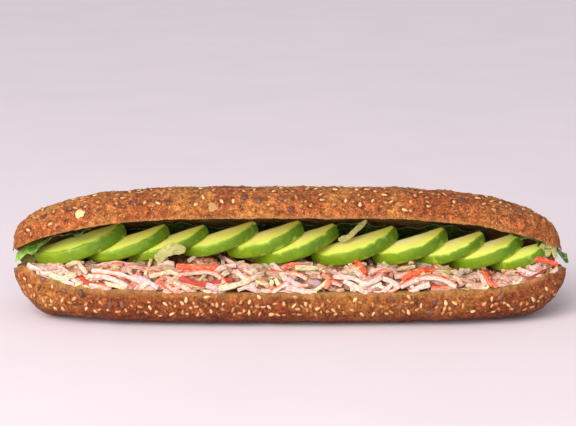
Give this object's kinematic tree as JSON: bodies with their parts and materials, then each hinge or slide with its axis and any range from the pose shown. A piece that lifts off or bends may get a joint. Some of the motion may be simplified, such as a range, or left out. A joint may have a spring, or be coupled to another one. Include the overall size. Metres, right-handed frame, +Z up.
{
  "type": "submarine sandwich",
  "caption": "Long seeded bread roll cut open along its front and hinged at the back, filled with shredded surimi salad, avocado slices and lettuce.",
  "frame": {"origin": "middle of the underside of the roll", "axes": "+X along the length, -Y towards the open side, +Z up through the crown"},
  "size_m": [0.2905, 0.0774, 0.0688],
  "materials": {
    "crust": "matte baked crust with seeds",
    "salad": "moist shredded surimi",
    "avocado": "smooth moist flesh",
    "lettuce": "crisp waxy leaf"
  },
  "bodies": {
    "root": {"bread": "crust", "crab_salad": "salad", "avocado_slice_01": "avocado", "avocado_slice_02": "avocado", "avocado_slice_03": "avocado", "avocado_slice_04": "avocado", "avocado_slice_05": "avocado", "avocado_slice_06": "avocado", "avocado_slice_07": "avocado", "avocado_slice_08": "avocado", "avocado_slice_09": "avocado", "avocado_slice_10": "avocado", "avocado_slice_11": "avocado", "lettuce_back": "lettuce", "lettuce_left": "lettuce", "lettuce_right": "lettuce"}
  },
  "joints": []
}
